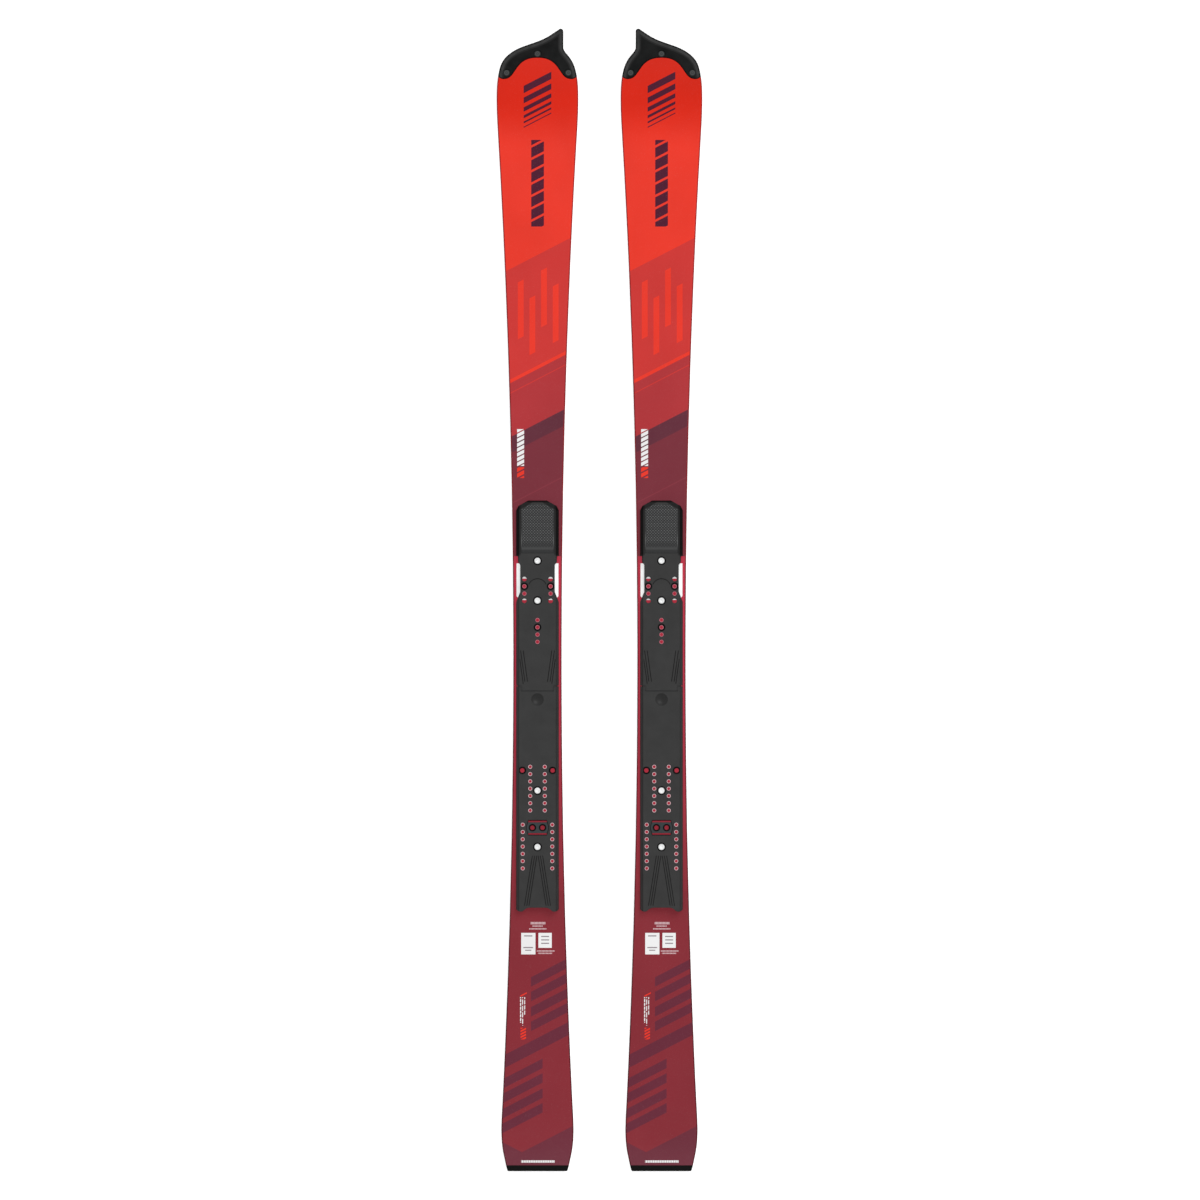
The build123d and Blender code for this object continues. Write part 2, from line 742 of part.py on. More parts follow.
# Threaded inserts for the toe binding, in the front plate.
with BuildPart() as toe_inserts:
    add(threaded_inserts(toe_insert_holes, plate_seat + 1.0))
write_pair(toe_inserts.part, "toe_inserts")

# Threaded inserts for the heel binding, in the rear plate.
with BuildPart() as heel_inserts:
    add(threaded_inserts(heel_insert_holes, rear_seat + 1.0))
write_pair(heel_inserts.part, "heel_inserts")
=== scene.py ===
import json
import math

import bmesh
import bpy
import numpy as np
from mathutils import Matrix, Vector
from mathutils.geometry import delaunay_2d_cdt


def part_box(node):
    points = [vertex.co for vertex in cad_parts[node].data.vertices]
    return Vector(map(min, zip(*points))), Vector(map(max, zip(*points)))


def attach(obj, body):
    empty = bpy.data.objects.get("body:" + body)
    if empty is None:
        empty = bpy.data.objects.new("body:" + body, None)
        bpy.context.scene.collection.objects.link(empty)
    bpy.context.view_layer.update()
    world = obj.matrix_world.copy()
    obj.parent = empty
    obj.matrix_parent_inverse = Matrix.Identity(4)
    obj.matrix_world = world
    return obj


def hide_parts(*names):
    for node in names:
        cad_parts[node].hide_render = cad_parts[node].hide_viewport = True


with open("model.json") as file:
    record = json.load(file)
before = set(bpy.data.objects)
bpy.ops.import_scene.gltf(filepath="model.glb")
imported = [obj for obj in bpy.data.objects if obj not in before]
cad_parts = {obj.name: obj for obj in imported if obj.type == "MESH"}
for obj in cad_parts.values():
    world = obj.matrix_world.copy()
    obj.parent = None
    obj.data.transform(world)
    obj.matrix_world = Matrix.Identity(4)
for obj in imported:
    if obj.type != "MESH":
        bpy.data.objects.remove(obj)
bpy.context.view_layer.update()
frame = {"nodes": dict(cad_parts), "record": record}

# A pair of slalom race skis on a pale floor. Blender works in metres; the printed pattern and
# the relief are laid out in millimetres from the centre line of each ski.
MM = 0.001
SIDES = ("left", "right")
NODES = frame["nodes"]


def middle_x(side):
    """Centre line of one ski, in metres."""
    low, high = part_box(f"{side}_topsheet")
    return (low.x + high.x) / 2


CENTRE = {side: middle_x(side) for side in SIDES}


# ------------------------------------------------------------------ shader helper
LIGHT_LEVEL = 1.20           # light that falls on a level surface
HAZE = 0.006                 # sheen that the light adds to a level surface
DARKEST = 0.001              # lowest scene-linear light that a colour is given
BEVEL_SAMPLES = 4
NOISE_ROUGHNESS = 0.55
EDGE_TURN = (0.97, 0.75)     # cosine of the turn at which the edges' rubbing and painted highlight start and are full


def linear(colour):
    """Scene-linear colour that a level surface shows as this display colour of 0 to 255."""
    out = []
    for part in colour:
        c = part / 255
        light = c / 12.92 if c <= 0.04045 else ((c + 0.055) / 1.055) ** 2.4
        out.append(max(DARKEST, light - HAZE) / LIGHT_LEVEL)
    return (*out, 1.0)


def scaled(colour, factor):
    """The same display colour, lighter or darker in scene-linear light."""
    return tuple(min(1.0, c * factor) for c in linear(colour)[:3]) + (1.0,)


class Shader:
    """A Principled material, and short calls that add nodes to it."""

    def __init__(self, name, **sockets):
        self.material = bpy.data.materials.new(name)
        self.material.use_nodes = True
        self.tree = self.material.node_tree
        self.bsdf = self.tree.nodes["Principled BSDF"]
        for key, value in sockets.items():
            self.bsdf.inputs[key.replace("_", " ")].default_value = value
        self.local = self.add("ShaderNodeTexCoord").outputs["Object"]

    def add(self, kind, **settings):
        node = self.tree.nodes.new(kind)
        for key, value in settings.items():
            setattr(node, key, value)
        return node

    def feed(self, socket, value):
        if isinstance(value, bpy.types.NodeSocket):
            self.tree.links.new(value, socket)
        else:
            socket.default_value = value

    def math(self, operation, *values):
        node = self.add("ShaderNodeMath", operation=operation)
        for socket, value in zip(node.inputs, values):
            self.feed(socket, value)
        return node.outputs[0]

    def vector(self, operation, *values):
        node = self.add("ShaderNodeVectorMath", operation=operation)
        for socket, value in zip(node.inputs, values):
            self.feed(socket, value)
        return node.outputs["Value" if operation == "DOT_PRODUCT" else "Vector"]

    def product(self, *values):
        """All the values multiplied together."""
        out = values[0]
        for value in values[1:]:
            out = self.math("MULTIPLY", out, value)
        return out

    def axes(self, value=None):
        """The x, y and z outputs of a vector, or of the object coordinates."""
        node = self.add("ShaderNodeSeparateXYZ")
        self.feed(node.inputs[0], self.local if value is None else value)
        return node.outputs

    def mix(self, share, first, second):
        node = self.add("ShaderNodeMix", data_type="RGBA")
        self.feed(node.inputs[0], share)
        self.feed(node.inputs[6], first)
        self.feed(node.inputs[7], second)
        return node.outputs[2]

    def scale(self, x, y, z):
        """Object coordinates times a factor along each axis."""
        return self.vector("MULTIPLY", self.local, (x, y, z))

    def noise(self, per_metre, detail=3.0, at=None):
        node = self.add("ShaderNodeTexNoise")
        self.feed(node.inputs["Vector"], self.local if at is None else at)
        node.inputs["Scale"].default_value = per_metre
        node.inputs["Detail"].default_value = detail
        node.inputs["Roughness"].default_value = NOISE_ROUGHNESS
        return node.outputs["Fac"]

    def cells(self, per_metre):
        node = self.add("ShaderNodeTexVoronoi")
        self.feed(node.inputs["Vector"], self.local)
        node.inputs["Scale"].default_value = per_metre
        return node.outputs["Distance"]

    def span(self, value, low, high, out_low=0.0, out_high=1.0, smooth=False):
        """Remaps low..high to out_low..out_high, clamped."""
        kind = "SMOOTHSTEP" if smooth else "LINEAR"
        node = self.add("ShaderNodeMapRange", interpolation_type=kind)
        for socket, item in zip(node.inputs, (value, low, high, out_low, out_high)):
            self.feed(socket, item)
        return node.outputs[0]

    def shade(self, colour, factor):
        """The colour times a factor."""
        node = self.add("ShaderNodeVectorMath", operation="SCALE")
        self.feed(node.inputs[0], colour)
        self.feed(node.inputs["Scale"], factor)
        return node.outputs[0]

    def ski_place(self):
        """Millimetres from the centre line of the nearer ski, along it, and above the floor."""
        x, y, z = (self.math("MULTIPLY", out, 1 / MM) for out in self.axes())
        away = self.math("SUBTRACT", self.math("ABSOLUTE", x), CENTRE["right"] / MM)
        return self.math("ABSOLUTE", away), y, z

    def reach(self, away, y, centre):
        """Distance in plan from a place given as (away, y), in millimetres."""
        dx = self.math("SUBTRACT", away, centre[0])
        dy = self.math("SUBTRACT", y, centre[1])
        squares = self.math("ADD", self.product(dx, dx), self.product(dy, dy))
        return self.math("SQRT", squares)

    def edge_wear_and_highlight(self, radius):
        """A normal with the edges rounded, and a mask: 0 on flat faces, rising to 1 at edges."""
        rounded = self.add("ShaderNodeBevel", samples=BEVEL_SAMPLES)
        rounded.inputs["Radius"].default_value = radius
        flat = self.add("ShaderNodeNewGeometry").outputs["True Normal"]
        turn = self.vector("DOT_PRODUCT", rounded.outputs[0], flat)
        return rounded.outputs[0], self.span(turn, *EDGE_TURN)

    def bump(self, height, strength, depth, normal=None):
        """A normal from a height texture; depth is in metres."""
        node = self.add("ShaderNodeBump")
        node.inputs["Strength"].default_value = strength
        node.inputs["Distance"].default_value = depth
        self.feed(node.inputs["Height"], height)
        if normal is not None:
            self.feed(node.inputs["Normal"], normal)
        return node.outputs[0]

    def finish(self, colour, roughness, normal=None):
        self.feed(self.bsdf.inputs["Base Color"], colour)
        self.feed(self.bsdf.inputs["Roughness"], roughness)
        if normal is not None:
            self.feed(self.bsdf.inputs["Normal"], normal)
        return self.material


def dress(node, material):
    """Puts the material in every slot of an object."""
    if not node.material_slots:
        node.data.materials.append(material)
    for slot in node.material_slots:
        slot.link = "OBJECT"
        slot.material = material


# ------------------------------------------------------------------ printed topsheet
# Painted shade: the shovel's red is darker, for the shade on its upturned curve.
SHOVEL_SHADED_RED = (221, 46, 31)
MAIN_RED = (235, 62, 48)
INK = (82, 36, 54)
BLOCK_RED = (205, 60, 57)
ZONE_RED = (177, 58, 62)
BAND_WINE = (102, 52, 64)
ZONE_WINE = (124, 54, 64)
LINE_WINE = (137, 60, 70)
WAIST_RED = (190, 60, 78)
# Painted light: the print under the plates and in the window is lightened against the shade down
# the holes and the window.
UNDER_RED = (214, 66, 84)
WINDOW_RED = (184, 60, 74)
# Painted shade round the window's edge.
WINDOW_EDGE_SHADE = (40, 26, 30)
TAIL_RED = (137, 51, 59)
TAIL_WINE = (107, 49, 63)
TAIL_END = (112, 52, 64)
LABEL_WHITE = (240, 240, 240)
LABEL_GREY = (150, 140, 145)
LABEL_PINK = (214, 184, 188)
SLANT = 0.515                # rise of the slanted ends across the ski


class Print:
    """The pattern of one topsheet: stripes with slanted ends, laid over each other."""

    def __init__(self, shader, side):
        self.s = shader
        shift = (-CENTRE[side] / MM, 0.0, 0.0)
        place = shader.vector("MULTIPLY_ADD", shader.local, (1 / MM,) * 3, shift)
        self.x, self.y, _ = shader.axes(place)
        # constant along a line that rises, or falls, from left to right
        self.up = shader.math("MULTIPLY_ADD", self.x, -SLANT, self.y)
        self.down = shader.math("MULTIPLY_ADD", self.x, SLANT, self.y)

    def between(self, value, low, high):
        return self.s.math("COMPARE", value, (low + high) / 2, (high - low) / 2)

    def under(self, value, high):
        return self.s.math("LESS_THAN", value, high)

    def bar(self, x, up):
        """Stripe along the ski with both ends slanted."""
        return self.s.product(self.between(self.x, *x), self.between(self.up, *up))

    def block(self, x, y):
        """Rectangle."""
        return self.s.product(self.between(self.x, *x), self.between(self.y, *y))

    def dashes(self, x, y, pitch, share):
        """A row of short dashes along the ski."""
        phase = self.s.math("FRACT", self.s.math("MULTIPLY", self.up, 1 / pitch))
        return self.s.product(self.block(x, y), self.under(phase, share))

    def rungs(self, x, y, pitch, share):
        """A row of short upright dashes across the ski."""
        phase = self.s.math("FRACT", self.s.math("MULTIPLY", self.x, 1 / pitch))
        return self.s.product(self.block(x, y), self.under(phase, share))


WIDE = 80.0                  # past both edges of the ski
SHOVEL_FADE = (690, 610)     # painted shade: the shovel's darker red gives way to the main red
# where each speed line starts, and its thickness
SPEED_LINES = ((706, 10), (692, 8), (680.5, 6), (671.5, 4), (664.5, 2.5), (658.5, 1.4))
# Each row of these tables is a range across the ski, then a range along it.
STAGGERED_BARS = (
    ((-27, -19), (372, 450)), ((-11, -3), (342, 420)),
    ((5, 13), (372, 450)), ((21, 29), (342, 420)),
)
PLATE_START = 60             # the print is darker from here back
PLATE_FADE = (-100, -430)    # and turns to the tail's colour over this length
TAIL_START = -400
TAIL_BARS = (
    ((-9, WIDE), (-527, -514)), ((-9, WIDE), (-547, -534)),
    ((-9, WIDE), (-568, -555)), ((-9, WIDE), (-588, -575)),
    ((-WIDE, WIDE), (-620, -602)),
    ((-WIDE, 7), (-647, -634)), ((-WIDE, 7), (-667, -654)),
    ((-WIDE, 7), (-688, -675)), ((-WIDE, 7), (-708, -695)),
)
LABELS = (((-22.4, -2.8), (-487.2, -457.6)), ((1.3, 19.6), (-478.2, -457.6)))
LABEL_LINES = (
    ((-18.5, -7.0), (-462.6, -461.0)),
    ((-19.5, -6.0), (-478.6, -477.0)),
    ((-17.0, -8.5), (-482.2, -480.8)),
    ((5.0, 16.0), (-463.4, -461.8)),
    ((5.0, 16.0), (-468.1, -466.5)),
    ((5.0, 16.0), (-472.8, -471.2)),
)
FINE_ROWS = (
    ((-9.3, 11.0), (-446.0, -442.6)),
    ((-6.9, 7.1), (-449.2, -447.4)),
    ((-11.5, 12.2), (-453.0, -451.2)),
    ((-1.0, 23.4), (-483.4, -481.6)),
    ((0.8, 20.0), (-486.6, -484.8)),
)
# across, start and pitch of each fine column of dashes on the tail
FINE_COLUMNS = (
    ((-23.9, -22.4), -581, 5.2), ((-21.0, -19.8), -585, 8.8), ((-18.2, -17.0), -570, 7.1),
)


def print_layers(p, shader):
    """Masks and display colours of the print, from the tip to the tail; each covers the last."""
    # thinning speed lines on the shovel and a row of dashes behind them
    for low, thick in SPEED_LINES:
        yield p.bar((-19, 19), (low, low + thick)), INK
    yield p.dashes((-8.6, 8.8), (513, 632), 17.0, 0.8), INK
    # darker zone ahead of the plates, with four staggered bars
    yield p.under(p.up, 474), BLOCK_RED
    for x, up in STAGGERED_BARS:
        yield p.bar(x, up), MAIN_RED
    # zones down to the plates
    yield p.under(p.up, 322), MAIN_RED
    yield p.under(p.up, 317), ZONE_RED
    yield p.bar((-WIDE, WIDE), (302.5, 303.9)), BLOCK_RED
    yield p.under(p.up, 242.8), BAND_WINE
    yield p.under(p.up, 220.5), ZONE_WINE
    yield p.bar((-WIDE, WIDE), (150.2, 151.6)), LINE_WINE
    yield p.dashes((-28.0, -18.4), (184, 234.6), 6.6, 0.74), LABEL_WHITE
    yield p.dashes((-28.0, -18.4), (167.4, 182.4), 7.6, 0.72), MAIN_RED
    # beside, under and behind the plates
    yield p.under(p.y, PLATE_START), WAIST_RED
    paler = shader.span(p.y, *PLATE_FADE)
    yield shader.product(p.under(p.y, PLATE_START), paler), TAIL_RED
    # Painted light: a lighter red under the plates and in the window, against the shade there.
    yield p.block((-26, 26), (-419, 58)), UNDER_RED
    # Painted shade: a dark outline round the window, where its walls shade the print.
    yield p.block((-16.5, 16.5), (-324.6, -301.6)), WINDOW_EDGE_SHADE
    yield p.block((-12.6, 12.6), (-322.6, -303.6)), WINDOW_RED
    yield p.under(p.y, TAIL_START), TAIL_RED
    for x, up in TAIL_BARS:
        yield p.bar(x, up), TAIL_WINE
    yield shader.product(p.under(p.up, -748), p.under(p.y, -600)), TAIL_END
    yield shader.product(p.under(p.down, -770), p.under(p.y, -700)), TAIL_END
    yield p.rungs((-22.5, 23.4), (-773.4, -770.2), 2.4, 0.78), LABEL_WHITE
    # labels without lettering
    for x, y in LABELS:
        yield p.block(x, y), LABEL_WHITE
    for x, y in LABEL_LINES:
        yield p.block(x, y), LABEL_GREY
    for x, y in FINE_ROWS:
        yield p.rungs(x, y, 1.9, 0.72), LABEL_PINK
    # slim marks on the tail
    yield p.bar((-23.5, -14.6), (-533.4, -531.6)), MAIN_RED
    for x, low, pitch in FINE_COLUMNS:
        yield p.dashes(x, (low, -546), pitch, 0.78), LABEL_WHITE
    yield p.dashes((-23.3, -15.8), (-604, -588), 4.1, 0.6), MAIN_RED


def topsheet_colour(shader, side):
    """The print of one topsheet, with painted shade darkening its shovel."""
    p = Print(shader, side)
    # Painted shade over the shovel.
    fade = shader.span(p.y, *SHOVEL_FADE, smooth=True)
    colour = shader.mix(fade, linear(SHOVEL_SHADED_RED), linear(MAIN_RED))
    for mask, paint in print_layers(p, shader):
        colour = shader.mix(mask, colour, linear(paint))
    return colour


def topsheet_material(side):
    """Printed and clear-coated sheet with slight drift in tone, specks and hairline scratches."""
    s = Shader(f"{side}_print", Coat_Weight=0.2, Coat_Roughness=0.15, Specular_IOR_Level=0.25)
    drift = s.span(s.noise(9.0, 4.0), 0.3, 0.7, 0.94, 1.05)
    colour = s.shade(topsheet_colour(s, side), drift)
    speck = s.span(s.noise(900.0, 2.0), 0.62, 0.72)
    colour = s.mix(s.product(speck, 0.05), colour, linear((230, 210, 210)))
    scratch = s.noise(60.0, 3.0, at=s.scale(9.0, 0.6, 1.0))
    hairline = s.span(scratch, 0.66, 0.70)
    cloud = s.span(s.noise(35.0, 3.0), 0.3, 0.7, 0.3, 0.4)
    rough = s.math("ADD", cloud, s.product(hairline, 0.12))
    peel = s.math("ADD", s.noise(420.0, 2.0), s.product(hairline, -0.4))
    return s.finish(colour, rough, s.bump(peel, 0.06, 0.0003))


# ------------------------------------------------------------------ other materials
# Places and sizes on the moulded pieces, in millimetres. AWAY is from the ski's centre line.
BAND_WIDTH = 5.4             # sloping band round the tip protector, and how far it drops
BAND_DROP = 1.5
RIDGE_AWAY = BAND_WIDTH + 1.1
BOSS_RADIUS = 8.2
BOSS_RISE = 0.5
RIVETS = ((-42.5, 724.4), (42.5, 724.4), (0.0, 750.5))
RIVET_RING = 2.6
GRIP_PITCH = 1.95
GRIP_RISE = 0.42
GRIP_FLOOR = 29.4
GRIP_HIGHLIGHT_RAMP = (68.0, 80.0)     # the tips carry a painted highlight from here forward
DISH = (0.0, -137.0)
DISH_RADIUS = 8.7
PLATE_TOP = 30.0
GUIDE_TOP = 29.4
GROOVE_DEPTH = (0.5, 0.15)   # depths at which a groove's painted shade is darkest, and gone
PIT_DEPTH = (1.4, 0.7)
# Painted shade on the plates also falls on the flanks from here, at the crease and foot, and on the
# collar, the slanted front lip and the rim.
FLANK_AWAY = 25.25           # the plates' flanks slope down from here
CREASE_AWAY = 25.5
FOOT_AWAY = (28.5, 29.1)
COLLAR_Y = (56.0, 62.0)
LIP_SLOPE = 0.55             # the front corners are cut on a slant
LIP_Y = (137.2, 138.0)
RIM_AWAY = (22.7, 23.3)
RIM_Y = (60.0, 63.0)
INSERT_PITCH = 10.0


def plastic(name, colour, grain, depth, edge_paling, rough=(0.42, 0.55)):
    """Moulded plastic: fine grain, slight mottling and smoother edges, paler from rubbing and from
    a painted highlight.
    """
    s = Shader(name)
    normal, edge = s.edge_wear_and_highlight(0.0004)
    mottle = s.noise(55.0, 4.0)
    body = s.mix(s.span(mottle, 0.3, 0.7), scaled(colour, 0.88), scaled(colour, 1.12))
    # Paler edges: partly rubbing, partly a painted highlight.
    worn_and_highlit = s.product(edge, s.span(s.noise(260.0, 3.0), 0.35, 0.65, 0.4 * edge_paling, edge_paling))
    body = s.mix(worn_and_highlit, body, scaled(colour, 2.6))
    skin = s.math("ADD", s.cells(grain), s.product(s.noise(grain * 0.6, 2.0), 0.7))
    roughness = s.span(s.noise(grain * 0.3, 2.0), 0.25, 0.75, *rough)
    return s.finish(body, roughness, s.bump(skin, depth, 0.00012, normal))


def sunk_shade(s, z, top, dish):
    """Painted shade: darkens the grooves, holes, counterbores and the dish of a plate."""
    groove = s.span(z, top - GROOVE_DEPTH[0], top - GROOVE_DEPTH[1], 0.2, 1.0)
    pit = s.span(z, top - PIT_DEPTH[0], top - PIT_DEPTH[1], 0.06, 1.0)
    return s.span(dish, 0.0, 1.0, 0.7, s.product(groove, pit))


def flank_shade(s, away, y):
    """Painted shade: darkens the crease and the foot of a plate's flank, and its collar at the
    front.
    """
    from_crease = s.math("ABSOLUTE", s.math("SUBTRACT", away, CREASE_AWAY))
    crease = s.span(from_crease, 0.1, 0.7, 0.6, 1.0)
    return s.product(crease, s.span(away, *FOOT_AWAY, 1.0, 0.6), s.span(y, *COLLAR_Y, 1.0, 0.3))


def plate_plastic(name, colour, top):
    """Plate plastic with painted shade: darker in the grooves, holes and counterbores and along the
    lower flanks, also in the dish, on the collar, the slanted front lip and the rim.
    """
    s = Shader(name, Specular_IOR_Level=0.25)
    normal, edge = s.edge_wear_and_highlight(0.0003)
    away, y, z = s.ski_place()
    dish = s.span(s.reach(away, y, DISH), DISH_RADIUS - 0.3, DISH_RADIUS + 0.2)
    on_flank = s.math("GREATER_THAN", away, FLANK_AWAY)
    shade = s.span(on_flank, 0.0, 1.0, sunk_shade(s, z, top, dish), flank_shade(s, away, y))
    # Painted shade on the slanted front lip and along the rim.
    lip = s.span(s.math("MULTIPLY_ADD", away, LIP_SLOPE, y), *LIP_Y, 1.0, 0.35)
    rim = s.product(s.span(away, *RIM_AWAY), s.span(y, *RIM_Y))
    factor = s.product(shade, lip, s.span(rim, 0.0, 1.0, 1.0, 0.4))
    mottle = s.noise(55.0, 4.0)
    body = s.mix(s.span(mottle, 0.3, 0.7), scaled(colour, 0.92), scaled(colour, 1.08))
    # Paler edges: partly rubbing, partly a painted highlight.
    worn_and_highlit = s.product(edge, s.span(s.noise(260.0, 3.0), 0.35, 0.65, 0.05, 0.2))
    body = s.shade(s.mix(worn_and_highlit, body, scaled(colour, 2.2)), factor)
    skin = s.math("ADD", s.cells(1700.0), s.product(s.noise(1000.0, 2.0), 0.7))
    roughness = s.span(s.noise(500.0, 2.0), 0.25, 0.75, 0.42, 0.55)
    roughness = s.span(dish, 0.0, 1.0, 0.42, roughness)
    return s.finish(body, roughness, s.bump(skin, 0.22, 0.00012, normal))


def protector_plastic():
    """Moulded tip: near-black rim, a paler band round the free edge and a pale ridge line as
    painted highlight, painted shade along the rear edge, dark inside.
    """
    s = Shader("moulded_tip_plastic", Specular_IOR_Level=0.15)
    normal, _ = s.edge_wear_and_highlight(0.0004)
    away = s.add("ShaderNodeAttribute", attribute_name="from_free_edge").outputs["Fac"]
    rear = s.add("ShaderNodeAttribute", attribute_name="from_rear_edge").outputs["Fac"]
    mottle = s.noise(60.0, 4.0)
    inner = s.mix(s.span(mottle, 0.3, 0.7), linear((29, 30, 30)), linear((38, 39, 39)))
    cloud = s.noise(140.0, 3.0)
    # Painted highlight: the sloping band is paler, as if it caught the light.
    band = s.mix(s.span(cloud, 0.3, 0.7), linear((56, 57, 57)), linear((68, 68, 68)))
    body = s.mix(s.span(away, BAND_WIDTH - 0.5, BAND_WIDTH + 0.5), band, inner)
    from_ridge = s.math("ABSOLUTE", s.math("SUBTRACT", away, RIDGE_AWAY))
    # Painted highlight: a pale line along the ridge inside the band.
    body = s.mix(s.span(from_ridge, 0.3, 0.9, 0.5, 0.0), body, linear((58, 58, 58)))
    body = s.mix(s.span(away, 1.3, 1.8), linear((8, 8, 9)), body)
    # Painted shade: a dark line along the rear edge.
    body = s.mix(s.span(rear, 0.6, 2.0), linear((10, 14, 15)), body)
    skin = s.math("ADD", s.cells(1500.0), s.product(s.noise(900.0, 2.0), 0.7))
    roughness = s.span(s.noise(450.0, 2.0), 0.25, 0.75, 0.45, 0.58)
    return s.finish(body, roughness, s.bump(skin, 0.3, 0.00012, normal))


def rivet_paint():
    """Black paint on the rivets, paler in the centre and on a ring round it."""
    s = Shader("black_rivet_paint", Specular_IOR_Level=0.4)
    normal, edge = s.edge_wear_and_highlight(0.0003)
    away, y, _ = s.ski_place()
    near = s.math("MINIMUM", s.reach(away, y, RIVETS[1]), s.reach(away, y, RIVETS[2]))
    from_ring = s.math("ABSOLUTE", s.math("SUBTRACT", near, RIVET_RING))
    ring = s.span(from_ring, 0.5, 1.1, 1.0, 0.0)
    body = s.mix(ring, linear((44, 46, 46)), linear((78, 80, 80)))
    body = s.mix(s.span(near, 1.0, 1.4, 0.7, 0.0), body, linear((84, 86, 86)))
    # Paler edges: partly rubbing, partly a painted highlight.
    body = s.mix(s.product(edge, 0.4), body, linear((90, 92, 92)))
    grain = s.noise(2600.0, 2.0)
    return s.finish(body, s.span(grain, 0.3, 0.7, 0.3, 0.42), s.bump(grain, 0.15, 0.0001, normal))


def insert_metal(name, ring, inner, outer, *first_places):
    """Rows of turned inserts along the ski: pale ring between two radii, red inside as painted
    light standing in for the lit red seen down each hole.

    Each place is the front insert of a row, as (away from the centre line, along the ski).
    """
    s = Shader(name, Metallic=0.1, Specular_IOR_Level=0.4)
    away, y, _ = s.ski_place()
    reaches = []
    for place_away, place_y in first_places:
        offset = s.math("SUBTRACT", y, place_y)
        in_row = s.math("WRAP", offset, INSERT_PITCH / 2, -INSERT_PITCH / 2)
        reaches.append(s.reach(away, in_row, (place_away, 0.0)))
    near = s.math("MINIMUM", *reaches)
    turned = s.noise(1.0, 4.0, at=s.scale(1500.0, 1500.0, 200.0))
    pale = s.mix(s.span(turned, 0.3, 0.7), scaled(ring, 0.9), scaled(ring, 1.05))
    red = s.mix(s.span(turned, 0.3, 0.7), linear((176, 26, 52)), linear((204, 40, 66)))
    # Painted light: red in the bore, in place of the lit red at the bottom of the hole.
    body = s.mix(s.span(near, inner, inner + 0.3), red, pale)
    body = s.mix(s.span(near, outer, outer + 0.25), body, linear((84, 56, 62)))
    return s.finish(body, s.span(turned, 0.2, 0.8, 0.3, 0.45), s.bump(turned, 0.1, 0.00008))


def grip_rubber():
    """Rubber with a painted highlight on the tips of its low pyramids."""
    s = Shader("rubber_grip", Specular_IOR_Level=0.3)
    _, y, z = s.ski_place()
    high = s.span(z, GRIP_FLOOR + 0.14, GRIP_FLOOR + 0.34)
    # Painted highlight on the pyramid tips.
    tips = s.product(high, s.span(y, *GRIP_HIGHLIGHT_RAMP))
    fine = s.noise(900.0, 3.0)
    body = s.mix(s.span(fine, 0.3, 0.7), linear((48, 49, 49)), linear((57, 57, 58)))
    body = s.mix(tips, body, linear((118, 119, 119)))
    return s.finish(body, s.span(fine, 0.3, 0.7, 0.5, 0.65), s.bump(fine, 0.2, 0.0001))


def metal(name, colour, lines, metallic, rough=(0.22, 0.36)):
    """Metal with a fine grain; lines is the grain's count per metre along each axis."""
    s = Shader(name, Metallic=metallic)
    normal, edge = s.edge_wear_and_highlight(0.0003)
    stroke = s.noise(1.0, 4.0, at=s.scale(*lines))
    body = s.mix(s.span(stroke, 0.3, 0.7), scaled(colour, 0.85), scaled(colour, 1.08))
    # Paler edges: partly rubbing, partly a painted highlight.
    body = s.mix(s.product(edge, 0.4), body, scaled(colour, 1.3))
    stain = s.noise(80.0, 4.0)
    body = s.mix(s.product(s.span(stain, 0.6, 0.8), 0.25), body, scaled(colour, 0.55))
    roughness = s.math("ADD", s.span(stroke, 0.2, 0.8, *rough), s.product(stain, 0.06))
    return s.finish(body, roughness, s.bump(stroke, 0.12, 0.00008, normal))


def sidewall_material():
    """Planed plastic strip, red at the tips and wine at the tails."""
    s = Shader("planed_sidewall", Coat_Weight=0.15, Coat_Roughness=0.2, Specular_IOR_Level=0.4)
    _, y, _ = s.axes()
    body = s.mix(s.span(y, 0.70, -0.10), linear((190, 36, 32)), linear((118, 22, 36)))
    body = s.mix(s.span(y, -0.30, -0.60), body, linear((98, 24, 36)))
    stroke = s.noise(1.0, 4.0, at=s.scale(1400.0, 30.0, 1400.0))
    body = s.mix(s.span(stroke, 0.35, 0.65, 0.0, 0.3), body, linear((60, 14, 24)))
    scuff = s.product(s.span(s.noise(140.0, 4.0), 0.62, 0.72), 0.25)
    body = s.mix(scuff, body, linear((200, 120, 120)))
    normal, _ = s.edge_wear_and_highlight(0.0003)
    roughness = s.span(stroke, 0.3, 0.7, 0.3, 0.45)
    return s.finish(body, roughness, s.bump(stroke, 0.15, 0.0001, normal))


GRIND_TURN = 9               # degrees between the two sets of ground lines
STRIP_PAIRS = 62.5           # per metre across the core
WEAVE = 3600.0               # radians per metre


